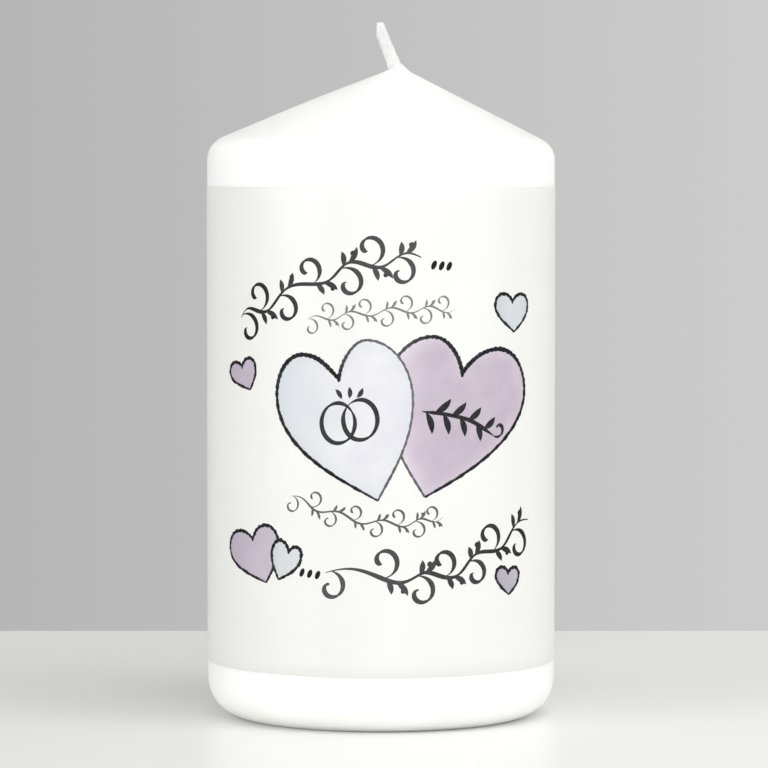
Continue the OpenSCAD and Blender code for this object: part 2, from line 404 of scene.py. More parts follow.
def cutReach(across):
    # The cut: nearly level over tipWidth at the right, then steeply down to the left.
    beyondCorner = across - wickHalfWidth + wick["tipWidth"]
    slope = wick["cutLength"] / (2 * wickHalfWidth - wick["tipWidth"])
    level = wick["tipLevel"] * math.tan(wickLean)
    return wickLength - level * np.clip(beyondCorner, 0, None) - slope * np.clip(-beyondCorner, 0, None)


def sleeveRows(radius, rounding, inwards):
    # Rings from the foot to the slanted cut. Above the last whole ring each line runs on
    # to the cut, and then over its rounded edge.
    angle = wholeTurn(wick["around"])[None, :]
    lastWhole = wickLength - wick["cutLength"] - wick["ringStep"]
    closeFrom = wickInside - 2 * mm
    along = np.concatenate([
        np.arange(0, closeFrom, wick["ringStep"]),
        np.linspace(closeFrom, lastWhole, 110),
    ])[:, None]
    reach = plaitReach(along, angle, radius)
    spread = 1 + wick["spread"] / wickHalfWidth * np.exp(-np.abs(along - wickInside - 1.5 * mm) / (3 * mm))
    lumps = 1 + 0.012 * waves(along * 900 + 2 * np.sin(angle), 11)
    reach = reach * (1 if inwards else spread * lumps)
    body = wickPlace(along, reach * np.cos(angle), reach * np.sin(angle))
    share = np.linspace(0, 1, 22)[1:, None]
    tipEnd = cutReach(reach[-1] * np.cos(angle[0])) - rounding
    tipAlong = lastWhole + (tipEnd - lastWhole) * share
    tipReach = plaitReach(tipAlong, angle, radius) * (reach[-1] / plaitReach(along[-1:], angle, radius))
    tip = wickPlace(tipAlong, tipReach * np.cos(angle), tipReach * np.sin(angle))
    arc = np.linspace(0, np.pi / 2, 6)[1:, None]
    edge = tipReach[-1] - rounding * (1 - np.cos(arc))
    edgeAlong = cutReach(edge * np.cos(angle)) - rounding * (1 - np.sin(arc))
    over = wickPlace(edgeAlong, edge * np.cos(angle), edge * np.sin(angle))
    return np.concatenate([body, tip, over])


def makeWick():
    primeWax = waxFinish("wickWax", (0.84, 0.84, 0.82), (0.8, 0.8, 0.775), 0.45, 0.012 * mm)
    cotton = cottonFinish()
    outside = sleeveRows(wick["strandRadius"] + wick["primeWax"], wick["edgeRound"], False)
    inside = sleeveRows(wick["strandRadius"] + wick["strandClearance"], 0, True)
    sleeve = gridPart(np.concatenate([outside, inside[::-1]]), closeRows=True)
    addPiece("primedWick", [sleeve], primeWax, ["wick_prime_wax"])
    # Each strand is a tube with a twisted lobe for each yarn. It ends a little below the
    # first place where its middle line meets the cut.
    for strand in (1, 2, 3):
        near = np.arange(wickLength - wick["cutLength"] - 1 * mm, wickLength, 0.02 * mm)
        end = near[np.argmax(near > cutReach(strandMiddle(near, strand)[0]))] - wick["strandShort"]
        lastWhole = end - wick["strandRound"]
        tip = np.linspace(lastWhole, end, 5)
        along = np.append(np.arange(0, lastWhole, wick["strandStep"]), tip)[:, None]
        angle = wholeTurn(20)[None, :]
        across, through = strandMiddle(along, strand)
        twist = fullTurn * along / wick["yarnTwist"]
        lobes = 1 + wick["yarnDepth"] * np.cos(wick["yarns"] * (angle - twist))
        beyond = ((along - lastWhole) / (1.4 * wick["strandRound"])).clip(0)
        rounded = np.sqrt(np.clip(1 - beyond**2, 0, 1))
        radius = wick["strandRadius"] * wick["strandShare"] * lobes * rounded
        x = across + radius * np.cos(angle)
        slant = smoothStep((along - end + 1.2 * mm) / (1.2 * mm)) * (cutReach(x) - cutReach(across))
        tube = wickPlace(along + slant, x, through + radius * np.sin(angle))
        replaced = ["wick_strand_" + str(strand)]
        addPiece("cottonStrand" + str(strand), [gridPart(tube, caps=True)], cotton, replaced)


makeWick()


candle = {
    "coneHeight": 18 * mm,
    "pointRadius": 3 * mm,
    "shoulderRadius": 6 * mm,
    "footRadius": 9 * mm,
    "footCut": 0.2 * mm,        # what is melted flat off the rounded foot
    "rimWidth": 3 * mm,
    "lipRound": 0.4 * mm,       # radius between the rim and the dish
    "collarLow": 0.05 * mm,     # wax drawn up the wick on its left
    "collarHigh": 1.25 * mm,    # and on its right
    "collarReach": 2.6 * mm,
    "ripple": 0.05 * mm,        # depth of the uneven dipping
    "clearOfWick": 8 * mm,      # where the ripple has its full depth
    "sag": 0.22 * mm,           # how much lower the cone has slumped
    "slant": 0.009,             # and how much more for each length to the right
    "hollow": 0.65 * mm,        # how much lower it is on the wick's left
    "hollowReach": 14 * mm,
    "slumpStart": 5 * mm,       # how far below the cone's corner the slump starts
    "slumpReach": 7 * mm,
    "around": 288,
}
wax = waxFinish("dippedWax", (0.93, 0.93, 0.90), (0.9, 0.9, 0.865), 0.4)


def waxForm(theta, inset):
    # The candle's outside moved in by inset, as three lists of rows: the cone along the
    # lines that touch both the point's sphere and the shoulder's ring, the shoulder's arc
    # with the side, and the foot's arc. Theta is the direction each row's normal faces.
    out = outwards(theta)
    point = np.array([wick["footShift"], 0, candleTop - candle["pointRadius"]])
    pointR, ringR = candle["pointRadius"] - inset, bodyRadius - candle["shoulderRadius"]
    coneAngle = math.atan(candle["coneHeight"] / bodyRadius)
    cornerZ = candleTop - candle["coneHeight"]
    shoulderZ = cornerZ - candle["shoulderRadius"] * math.tan((math.pi / 2 - coneAngle) / 2)
    shoulderR = candle["shoulderRadius"] - inset
    distance = ringR - point[0] * np.cos(theta)
    height = point[2] - shoulderZ
    normal = np.arctan2(distance, height) + np.arcsin((shoulderR - pointR) / np.hypot(distance, height))
    facing = np.cos(normal)[:, None] * out + np.sin(normal)[:, None] * up
    coneTop = point + pointR * facing
    coneEnd = ringR * out + shoulderZ * up + shoulderR * facing
    arc = normal * np.linspace(1, 0, 19)[1:, None]
    shoulder = (ringR + shoulderR * np.cos(arc))[..., None] * out \
        + (shoulderZ + shoulderR * np.sin(arc))[..., None] * up
    footZ = candle["footRadius"] - candle["footCut"]
    footR = candle["footRadius"] - inset
    levels = np.linspace(shoulderZ, footZ, 80)[1:, None]
    side = (bodyRadius - inset) * out[None] + levels[..., None] * up
    lowest = max(-1, -(footZ - inset + candle["footCut"]) / footR) if inset else -footZ / footR
    turn = np.linspace(0, math.asin(lowest), 22)[1:, None]
    foot = (bodyRadius - candle["footRadius"] + footR * np.cos(turn))[..., None] * out \
        + (footZ + footR * np.sin(turn))[..., None] * up
    return coneTop, coneEnd, np.concatenate([shoulder, side]), foot


def makeCoat():
    theta = wholeTurn(candle["around"])
    coneTop, coneEnd, side, foot = waxForm(theta, 0)
    innerTop, innerEnd, innerSide, innerFoot = waxForm(theta, coatThickness)
    length = np.hypot(*(coneEnd - coneTop)[:, :2].T)
    start = np.hypot(coneTop[:, 0] - wick["footShift"], coneTop[:, 1])
    wickEdge = stadiumReach(theta, wickHalfWidth - 0.1 * mm, plaitThick + wick["strandRadius"] + 0.1 * mm)
    # Places from the wick's edge out to the shoulder, close together by the wick.
    share = np.linspace(0, 1, 80)[:, None] ** 1.9
    u = (wickEdge - start) / length * (1 - share) + share
    cone = coneTop + u[..., None] * (coneEnd - coneTop)
    # The collar: it rises towards the wick, most on the right, and leans with it.
    rightness = 0.5 + 0.5 * np.cos(theta)
    rise = candle["collarLow"] + (candle["collarHigh"] - candle["collarLow"]) * rightness**1.5
    fromWick = share * (length + start - wickEdge)
    flank = 1 - smoothStep(fromWick / candle["collarReach"])
    cone[..., 2] += rise * flank
    cone[..., 0] -= rise * math.tan(wickLean) * flank
    # The flat rim under the foot, the lip's arc and the wall of the dish.
    footR, lipRound = candle["footRadius"], candle["lipRound"]
    rimR = bodyRadius - footR + math.sqrt(footR**2 - (footR - candle["footCut"])**2)
    dishR = rimR - candle["rimWidth"]
    out = outwards(theta)
    rim = np.linspace(rimR, dishR + lipRound, 7)[1:, None, None] * out
    arc = np.linspace(0, np.pi / 2, 6)[1:, None, None]
    lip = (dishR + lipRound * (1 - np.sin(arc))) * out + lipRound * (1 - np.cos(arc)) * up
    wall = dishR * out + np.linspace(lipRound, coreLow[2], 5)[1:, None, None] * up
    # The inside follows the core up to the wick's hole.
    innerStart = np.hypot(innerTop[:, 0] - wick["footShift"], innerTop[:, 1])
    innerLength = np.hypot(*(innerEnd - innerTop)[:, :2].T)
    innerShare = np.linspace(1, 0, 30)[:, None]
    v = (wickEdge - innerStart) / innerLength * (1 - innerShare) + innerShare
    innerCone = innerTop + v[..., None] * (innerEnd - innerTop)
    hole = innerCone[-1] + np.linspace(0, 1, 5)[1:-1, None, None] * (cone[0] - innerCone[-1])
    # The cone has slumped: a little all round, more to the right, and in a soft hollow to
    # the left of its point.
    outer = np.concatenate([cone, side, foot])
    slumpFrom = candleTop - candle["coneHeight"] - candle["slumpStart"]
    x, y, z = np.moveaxis(outer, -1, 0)
    fromPoint = np.hypot(x - wick["footShift"], y)
    hollow = candle["hollow"] * np.exp(-(fromPoint / candle["hollowReach"]) ** 2) * (1 - rightness) ** 0.7
    slump = candle["sag"] + candle["slant"] * x.clip(0) + hollow
    z -= slump * smoothStep((z - slumpFrom) / candle["slumpReach"])
    # Uneven dipping: shallow waves on the outside, none under the film or on the rim.
    aboveFilm = smoothStep((z - wrapHigh[2] - 2 * mm) / (8 * mm))
    belowFilm = smoothStep((wrapLow[2] - 1 * mm - z) / (5 * mm))
    offRim = smoothStep(z / (3 * mm))
    clear = (aboveFilm + belowFilm * offRim) * smoothStep(fromPoint / candle["clearOfWick"])
    depth = candle["ripple"] * ringWaves(theta[None, :], z, 5, 6) * clear
    outer = outer + depth[..., None] * (out + 0.4 * up)
    loop = np.concatenate([outer, rim, lip, wall, innerFoot[::-1], innerSide[::-1], innerCone, hole])
    addPiece("waxCoat", [gridPart(loop, closeRows=True)], wax, ["dipped_coat"], 50)


makeCoat()


film = {
    "glue": 0.03 * mm,
    "lap": 8 * mm,              # how far it laps over its own start, at the back
    "climb": 2.5 * mm,          # length in which it climbs on to its start
    "lapGap": 0.005 * mm,
    "edgeRound": 0.04 * mm,
    "around": 400,
    "upright": 36,
}
filmIn = bodyRadius + film["glue"]
filmThickness = wrapHigh[0] - filmIn
filmFace = wrapHigh[0]


def makeFilm():
    # A thin sheet wound round the side from the back, once and a lap more. Each ring is its
    # section: up the outside, over the top edge, down the inside and under the lower edge.
    lapAngle, climbAngle = film["lap"] / filmIn, film["climb"] / filmIn
    wound = np.linspace(-lapAngle / 2, fullTurn + lapAngle / 2, film["around"])
    climbed = smoothStep((wound - fullTurn + lapAngle / 2 + climbAngle) / climbAngle)
    climb = climbed * (filmThickness + film["lapGap"])
    low, high, edge = wrapLow[2], wrapHigh[2], film["edgeRound"]
    outside = np.linspace(low + edge, high - edge, film["upright"])
    z = np.concatenate([outside, [high, high], outside[::-1], [low, low]])
    depth = np.concatenate([0 * outside + 1, [0.75, 0.25], 0 * outside, [0.25, 0.75]]) * filmThickness
    radius = filmIn + depth[None, :] + climb[:, None]
    angle = np.pi / 2 + wound[:, None]
    sheet = np.stack([radius * np.cos(angle), radius * np.sin(angle), z[None, :] + 0 * angle], axis=-1)
    addPiece("filmWrap", [gridPart(sheet, caps=True)], filmFinish(), ["print_wrap"], 40)


makeFilm()


sustainer = {
    "sheet": 0.3 * mm,
    "neckWall": 0.65 * mm,           # from the wick's widest to the neck's outside
    "lipRound": 0.15 * mm,
    "edgeRound": 0.12 * mm,
    "rings": (5.2 * mm, 7.8 * mm),   # radii of the ribs pressed into the disc
    "ribDepth": 0.16 * mm,
    "ribWidth": 0.7 * mm,
    "fillet": 0.8 * mm,
    "crimp": 0.12 * mm,
    "around": 120,
}


def makeSustainer():
    # A turned profile: under the disc to the neck, up inside it, over its lip, down outside
    # and back over the disc. Ribs are pressed downwards, and the neck is crimped at four places.
    low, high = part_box("wick_sustainer")
    sheet, bend, lipRound = sustainer["sheet"], sustainer["fillet"], sustainer["lipRound"]
    discR = high[0]
    neckOut = wickHalfWidth + sustainer["neckWall"]
    neckIn = neckOut - sheet
    across = np.linspace(discR, neckOut + bend, 60)
    ribs = sum(np.exp(-((across - r) / (sustainer["ribWidth"] / 2)) ** 2) for r in sustainer["rings"])
    discZ = low[2] - sustainer["ribDepth"] * ribs
    arc = np.linspace(0, np.pi / 2, 7)[1:]
    underR = np.concatenate([across, neckOut + bend - (bend + sheet) * np.sin(arc)])
    underZ = np.concatenate([discZ, low[2] + (bend + sheet) * (1 - np.cos(arc))])
    neckZ = np.linspace(low[2] + bend + 2 * sheet, high[2] - lipRound, 10)
    lip = np.linspace(0, np.pi, 7)[1:-1]
    overR = np.concatenate([neckOut + bend - bend * np.sin(arc[::-1]), across[::-1]])
    overZ = np.concatenate([low[2] + sheet + bend * (1 - np.cos(arc[::-1])), discZ[::-1] + sheet])
    lipR = (neckIn + neckOut) / 2 - lipRound * np.cos(lip)
    lipZ = high[2] - lipRound + lipRound * np.sin(lip)
    edgeR = discR + sustainer["edgeRound"]
    radius = np.concatenate([underR, neckIn + 0 * neckZ, lipR, neckOut + 0 * neckZ, overR, [edgeR]])
    z = np.concatenate([underZ, neckZ, lipZ, neckZ[::-1], overZ, [low[2] + sheet / 2]])
    theta = wholeTurn(sustainer["around"])
    onNeck = smoothStep((z - low[2] - 2 * mm) / (3 * mm)) * (radius < neckOut + 0.1 * mm)
    squeeze = sustainer["crimp"] * np.abs(np.cos(2 * theta[None, :])) ** 3 * onNeck[:, None]
    reach = radius[:, None] - squeeze
    loop = np.stack([reach * np.cos(theta), reach * np.sin(theta), z[:, None] + 0 * theta], axis=-1)
    whole = gridPart(loop, closeRows=True)
    addPiece("wickSustainer", [whole], tinFinish(), ["wick_sustainer"], 60)


makeSustainer()

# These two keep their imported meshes.
for nodeName, finish in (("wax_core", coreFinish()), ("base_strip", paperFinish())):
    packed = bpy.data.objects[nodeName].data
    packed.materials.clear()
    packed.materials.append(finish)


# Heights above the film, and a line's above what it is drawn on, in mm.
layers = {
    "sunk": -0.012,             # where the underside of all the ink lies
    "backWash": 0.010,
    "frontWash": 0.034,
    "line": 0.014,
    "freeLine": 0.02,
}


def onFilm(s, z, lift):
    # A point of the print: s along the side from the middle of the front, z up, in mm.
    radius = filmFace + np.asarray(lift) * mm
    angle = np.asarray(s) * mm / bodyRadius
    height = np.asarray(z) * mm + 0 * angle
    return np.stack([radius * np.sin(angle), -radius * np.cos(angle), height], axis=-1)


def stroke(path, width, fade=0.0, base=0.0, thickness=layers["freeLine"]):
    # A pen stroke: a domed ribbon along a path of (s, z), in mm, with its own width and
    # fade at each point. It stands on the layer at base and is sunk a little into the film.
    path = np.asarray(path, float)
    count = len(path)
    width = np.broadcast_to(np.asarray(width, float), count)
    fade = np.clip(np.broadcast_to(np.asarray(fade, float), count), 0, 1)
    along = np.gradient(path, axis=0)
    along /= np.maximum(np.hypot(*along.T), 1e-9)[:, None]
    normal = np.stack([-along[:, 1], along[:, 0]], axis=-1)
    side = np.array([-1, -0.75, 0, 0.75, 1, 0.97, -0.97])
    height = np.array([0, 0.8, 1, 0.8, 0, 0, 0]) * thickness + base
    height[5:] = layers["sunk"]
    place = path[:, None] + normal[:, None] * (side[None, :, None] * width[:, None, None] / 2)
    points = onFilm(place[..., 0], place[..., 1], height[None, :])
    return gridPart(points, caps=True), np.append(np.repeat(fade, 7), [fade[0], fade[-1]])


def addInk(name, strokes, material):
    parts, fades = zip(*strokes)
    addPiece(name, parts, material, fade=fades)


def bezier(corners, steps=30):
    # Points of a chain of cubic curves, each from its four control points.
    t = np.linspace(0, 1, steps, endpoint=False)[:, None]
    pieces = [(1 - t)**3 * a + 3 * (1 - t)**2 * t * b + 3 * (1 - t) * t**2 * c + t**3 * d
              for a, b, c, d in np.asarray(corners, float)[:, :, None, :]]
    return np.concatenate(pieces + [np.asarray(corners[-1][-1], float)[None]])


def heartHalf(notch, leave, top, side, arrive, tip, bulge=0.42):
    # Half a heart's outline in mm: up from the notch, level over the top of the lobe,
    # upright down its side, and on to the tip. Leave and arrive steer both ends.
    towards = 1 if side[0] > top[0] else -1
    inner = (top[0] - towards * 0.5 * abs(top[0] - notch[0]), top[1])
    outer = (top[0] + 0.55 * (side[0] - top[0]), top[1])
    upper = (side[0], side[1] + 0.55 * (top[1] - side[1]))
    lower = (side[0], side[1] - bulge * (side[1] - tip[1]))
    return bezier([(notch, leave, inner, top), (top, outer, upper, side), (side, lower, arrive, tip)])


def smallHeart(notch, tilt, length, halves, swing):
    # Both halves of a plain heart: tilted to the left by tilt degrees, its tip swung aside.
    cosine, sine = math.cos(math.radians(tilt)), math.sin(math.radians(tilt))
    corners = np.array([(0, 0), (0.17, 0.15), (0.56, 0.235), (1, -0.12), (0.5, -0.72), (0, -1)])
    outlines = []
    for side, half in zip((1, -1), halves):
        x = side * corners[:, 0] * half + swing * np.clip(-corners[:, 1], 0, None) ** 1.5
        outline = heartHalf(*np.stack([x, corners[:, 1] * length], axis=-1))
        x, y = outline.T
        turned = np.stack([x * cosine - y * sine, x * sine + y * cosine], axis=-1)
        outlines.append(np.array(notch) + turned)
    return outlines


# Hearts in mm on the film, each in two halves from the notch to the tip, right then left. Pens
# and fades are a half's line width and paleness at the notch, the lobe, the side and the tip.
plainPen, boldPen = (0.7, 0.78, 0.72, 0.62), (0.95, 1.0, 0.88, 0.66)
dark = (0, 0, 0.03, 0.06)
hearts = {
    "BigRight": {
        "halves": [
            heartHalf((18.7, 80.6), (20.2, 82.9), (28.3, 85.9), (37.4, 76.2), (17.2, 57.3), (9.8, 53.3)),
            heartHalf((18.7, 80.6), (18.3, 84.6), (11.6, 89.0), (1.0, 76.0), (6.3, 59.0), (9.8, 53.3)),
        ],
        # The left half's pale side and tip lie over the middle of the front: painted highlight.
        "pens": (boldPen, (1.0, 0.85, 0.5, 0.6)), "fades": (dark, (0, 0.1, 0.8, 0.6)),
        "layer": "backWash", "wash": "mauve",
    },
    "BigLeft": {
        "halves": [
            heartHalf((-9.4, 79.7), (-9.0, 83.2), (-3.2, 88.3), (7.1, 74.8), (2.5, 59.0), (-0.7, 52.6)),
            heartHalf((-9.4, 79.7), (-11.6, 81.6), (-17.9, 84.9), (-24.7, 75.8), (-9.2, 57.5), (-0.7, 52.6),
                      bulge=0.5),
        ],
        # The right half's pale lobe, side and tip lie over the middle of the front: painted highlight.
        "pens": ((0.85, 0.55, 0.5, 0.55), boldPen), "fades": ((0.1, 0.8, 0.9, 0.6), dark),
        "layer": "frontWash", "wash": "pearl",
    },
}
# The small hearts' notch, tilt, length, two half widths, swing of the tip, layer and wash.
smallHearts = {
    "TopRight": ((33.0, 96.5), -2, 6.9, (5.6, 5.4), 0.8, "backWash", "ice"),
    "Left": ((-35.7, 81.8), 13, 5.7, (4.4, 5.1), 1.6, "backWash", "lilac"),
    "LowLilac": ((-32.1, 43.1), 11.6, 10.3, (7.4, 9.0), 2.2, "backWash", "lilac"),
    "LowPale": ((-21.6, 40.8), -18, 7.0, (3.5, 4.3), -0.6, "frontWash", "ice"),
    "LowRight": ((31.7, 35.5), -4.5, 5.0, (3.7, 3.8), 0.6, "backWash", "violet"),
}
for heartName, (*shape, layer, wash) in smallHearts.items():
    hearts[heartName] = {"halves": smallHeart(*shape), "layer": layer, "wash": wash}

sketch = {
    "swell": 0.12,              # slow changes of a line's width, as a share of it
    "rough": 0.3,               # its ragged edge
    "shake": 0.07,              # how far the hand shakes, in mm
    "drift": 0.3,               # how far the second stroke strays, in line widths
    "again": 0.6,               # the second stroke's share of the width
}

inks = {
    "pen": inkFinish("penInk", (0.002, 0.002, 0.003), (0.14, 0.14, 0.145)),
    "pencil": inkFinish("pencilGrey", (0.08, 0.08, 0.08), (0.34, 0.34, 0.34)),
}
washes = {
    "pearl": washFinish("pearlWash", (0.685, 0.685, 0.70), (0.625, 0.62, 0.665), (0.55, 0.58, 0.61)),
    "mauve": washFinish("mauveWash", (0.478, 0.408, 0.483), (0.415, 0.345, 0.42), (0.67, 0.595, 0.67)),
    "ice": washFinish("iceWash", (0.57, 0.59, 0.605), (0.52, 0.545, 0.565), (0.48, 0.505, 0.53)),
    "violet": washFinish("violetWash", (0.432, 0.40, 0.458), (0.39, 0.36, 0.42), (0.345, 0.325, 0.37)),
    "lilac": washFinish("lilacWash", (0.475, 0.415, 0.49), (0.43, 0.375, 0.45), (0.40, 0.35, 0.42)),
}


def makeWash(name, heart):
    # Rings from a middle point out to the outline, then back underneath them.
    right, left = heart["halves"]
    outline = np.concatenate([right[:-1], left[:0:-1]])
    lowest, highest = outline.min(axis=0), outline.max(axis=0)
    middle = np.array([right[0, 0] * 0.6 + right[-1, 0] * 0.4, right[0, 1] * 0.72 + right[-1, 1] * 0.28])
    share = np.concatenate([np.linspace(0.03, 1, 26), np.linspace(1, 0.03, 8)])
    lift = np.where(np.arange(34) < 26, layers[heart["layer"]], layers["sunk"])
    place = middle + share[:, None, None] * (outline - middle)
    points = onFilm(place[..., 0], place[..., 1], lift[:, None])
    # Faded to the shadow colour along the edge, and more on the left side.
    leftness = (middle[0] - place[..., 0]) / (highest[0] - lowest[0])
    edgeShade = 0.3 * smoothStep((share[:, None] - 0.75) / 0.25)
    fade = np.clip(edgeShade + 0.75 * smoothStep((leftness - 0.05) / 0.4), 0, 1)
    fades = [fade.ravel(), [fade[0].mean(), fade[-1].mean()]]
    addPiece("heartWash" + name, [gridPart(points, caps=True)], washes[heart["wash"]], fade=fades)


def makeOutline(name, heart, seed):
    # Two strokes from the notch to the tip, each drawn twice, with a rough, sketchy width.
    base = layers[heart["layer"]]
    t = np.linspace(0, 1, 360)
    stations = np.linspace(0, 1, 4)
    pens = heart.get("pens", (plainPen, plainPen))
    fades = heart.get("fades", (dark, dark))
    strokes = []
    for half, pen, fade, turn in zip(heart["halves"], pens, fades, (1, 2)):
        known = np.linspace(0, 1, len(half))
        path = np.stack([np.interp(t, known, half[:, 0]), np.interp(t, known, half[:, 1])], axis=-1)
        away = path - path.mean(axis=0)
        span = np.hypot(*away.T).mean()
        ends = smoothStep(t * 9) * smoothStep((1 - t) * 9)
        rough = 1 + sketch["swell"] * (waves(t * 16, seed + turn) + waves(t * 90, seed + turn + 2)) \
            + sketch["rough"] * waves(t * span * 14, seed + turn + 4, 4)
        width = np.interp(t, stations, pen) * rough * (0.7 + 0.3 * smoothStep((1 - t) * 16))
        # The pale stretches of the fades over the middle of the front are painted highlight; the waves are
        # the ink's own uneven tone.
        tone = np.interp(t, stations, fade) + 0.15 * np.clip(waves(t * 11, seed + turn + 6), 0, 1)
        shake = sketch["shake"] * waves(t * span * 11, seed + turn + 10, 4) * ends
        shaken = path + away / np.hypot(*away.T)[:, None] * shake[:, None]
        strokes.append(stroke(shaken, width, tone, base, layers["line"]))
        drift = sketch["drift"] * width / span * waves(t * 9, seed + turn + 8) * ends
        again = (path + away * drift[:, None])[10:-8]
        strokes.append(stroke(
            again, sketch["again"] * width[10:-8], tone[10:-8] + 0.1, base, 0.9 * layers["line"]))
    # The pen pressed down at the notch.
    press = np.linspace(-0.5, 0.5, 11)
    size = 0.35 + 0.7 * pens[1][0]
    upright = np.stack([0.1 * press, size * press - 0.25 * size], axis=-1)
    width = 0.75 * size * np.sqrt(1.02 - 4 * press**2)
    strokes.append(stroke(heart["halves"][0][0] + upright, width, 0.05, base, 1.15 * layers["line"]))
    addInk("heartLine" + name, strokes, inks["pen"])


for seed, (heartName, heart) in enumerate(hearts.items()):
    makeWash(heartName, heart)
    makeOutline(heartName, heart, 40 * seed + 3)


def curve(points, steps=160):
    # A smooth path through a few points: Catmull-Rom pieces, as whole arrays.
    knots = np.asarray(points, float)
    padded = np.concatenate([[2 * knots[0] - knots[1]], knots, [2 * knots[-1] - knots[-2]]])
    t = np.linspace(0, len(knots) - 1, steps)
    first = np.minimum(t.astype(int), len(knots) - 2)
    u = (t - first)[:, None]
    a, b, c, d = (padded[first + k] for k in range(4))
    return 0.5 * (2 * b + (c - a) * u + (2 * a - 5 * b + 4 * c - d) * u**2 + (3 * b - a - 3 * c + d) * u**3)


def curl(start, heading, length, turns):
    # A spiral: the heading turns evenly while the steps shrink towards its eye.
    t = np.linspace(0, 1, 90)
    angle = math.radians(heading) + turns * fullTurn * t
    step = 1 - 0.88 * t
    moves = outwards(angle)[:, :2] * (length * step / step.sum())[:, None]
    return np.asarray(start) + np.cumsum(moves, axis=0)


def penWidth(path, pen, slant=35):
    # A broad pen: widest across its slant, and pointed at both ends.
    along = np.gradient(path, axis=0)
    angle = np.arctan2(along[:, 1], along[:, 0])
    t = np.linspace(0, 1, len(path))
    ends = np.minimum(1, 0.25 + 5 * np.minimum(t, 1 - t))
    return pen * (0.42 + 0.58 * np.abs(np.sin(angle - math.radians(slant)))) * ends


def leaf(start, heading, length, width, bow=0.7):
    # A leaf: a bowed stroke that swells in its middle.
    t = np.linspace(0, 1, 26)
    angle = math.radians(heading) + bow * (t - 0.5)
    moves = outwards(angle)[:, :2] * length / 26
    swell = np.sin(np.pi * np.clip(t, 0.03, 0.97)) ** 0.75
    return np.asarray(start) + np.cumsum(moves, axis=0), width * swell


def dot(place, size, tall=1.9, slant=65):
    # A slanted oval dot.
    t = np.linspace(-0.5, 0.5, 13)
    path = np.asarray(place) + (tall * size * t)[:, None] * outwards(math.radians(slant))[:2]
    return path, size * np.sqrt(1.001 - 4 * t**2)


vines = {
    # Each one's spine in mm, pen width, curl height, number of waves, paleness at both ends,
    # the places and sizes of its dots, and its seed.
    "vineUpper": {
        "spine": [(-36, 92.6), (-26.5, 96.2), (-13, 102.2), (-2, 105.4), (9, 106.6)],
        # Its paleness towards its right end, over the middle of the front, is painted highlight.
        "ink": "pen", "pen": 1.15, "height": 7.4, "count": 7, "fades": (0, 0.5),
        "dots": [((11.9, 104.9), 1.15), ((13.7, 104.7), 1.15), ((15.5, 104.6), 1.15)],
        "seed": 21,
    },
    "vineLower": {
        "spine": [(-12.5, 36.4), (3, 35.6), (12, 35.4), (21, 38.2), (29.5, 42.5), (39, 47.0)],
        # Its paleness towards its left end, over the middle of the front, is painted highlight.
        "ink": "pen", "pen": 1.2, "height": 7.4, "count": 7, "fades": (0.45, 0),
        "dots": [((-18.2, 36.2), 1.1), ((-16.3, 36.0), 1.1), ((-14.4, 35.8), 1.1)],
        "seed": 33,
    },
    "garlandUpper": {
        "spine": [(-17, 92.6), (-6, 94.0), (6, 95.0), (17, 95.0)],
        "ink": "pencil", "pen": 0.5, "height": 4.2, "count": 8, "fades": (0.3, 0.4), "seed": 45,
    },
    "garlandLower": {
        "spine": [(-21, 53.2), (-12, 50.0), (-2, 47.8), (7, 47.6), (14, 48.8)],
        "ink": "pencil", "pen": 0.55, "height": 4.2, "count": 8, "fades": (0.1, 0), "seed": 57,
    },
}
waveSteps = 80                  # points of a stem in each of its waves
# Leaves at each curl: points after it, degrees off the stem, and share of the curl height.
vineLeaves = ((8, 52, 0.42), (26, 40, 0.5))


def makeVine(name, vine):
    # A scrolling vine: a waving stem along the spine, and at each wave a curl that fills
    # its hollow, with two leaves and a bud against it. The ink goes from one fade to another.
    pen, height, count = vine["pen"], vine["height"], vine["count"]
    line = curve(vine["spine"], waveSteps * count)
    along = np.gradient(line, axis=0)
    slope = np.arctan2(along[:, 1], along[:, 0])
    normal = np.stack([-np.sin(slope), np.cos(slope)], axis=-1)
    t = np.linspace(0, 1, waveSteps * count)
    stem = line + normal * (0.17 * height * np.sin(count * np.pi * t))[:, None]
    run = np.hypot(*(line[-1] - line[0])) / count
    paleness = np.interp(t, (0, 1), vine["fades"])
    strokes = [stroke(stem, penWidth(stem, pen), paleness + 0.15 * waves(t * 30, vine["seed"]) ** 2)]
    rng = np.random.default_rng(vine["seed"])
    heading = np.degrees(np.arctan2(*np.gradient(stem, axis=0).T[::-1]))
    for k in range(count):
        side = 1 if k % 2 else -1
        at = int((k + 0.12) * waveSteps)
        size = height * rng.uniform(0.95, 1.12)
        fade = paleness[at]
        path = curl(stem[at], heading[at] + side * 28, 1.75 * size, side * 1.05)
        strokes.append(stroke(path, penWidth(path, pen), fade + 0.1 * rng.random()))
        # The first curl stands alone.
        if k == 0:
            continue
        for step, spread, share in vineLeaves:
            turned = heading[at + step] - side * spread
            path, width = leaf(stem[at + step], turned, share * size, 1.1 * pen, -side * 0.8)
            strokes.append(stroke(path, width, fade + 0.1 * rng.random()))
        bud = stem[at + 44] - side * normal[at + 44] * 0.27 * height + along[at + 44] * 0.1 * run
        strokes.append(stroke(*dot(bud, 0.9 * pen, 1.2, 40), fade))
    for place, size in vine.get("dots", ()):
        strokes.append(stroke(*dot(place, size)))
    addInk(name, strokes, inks[vine["ink"]])


for vineName, vine in vines.items():
    makeVine(vineName, vine)


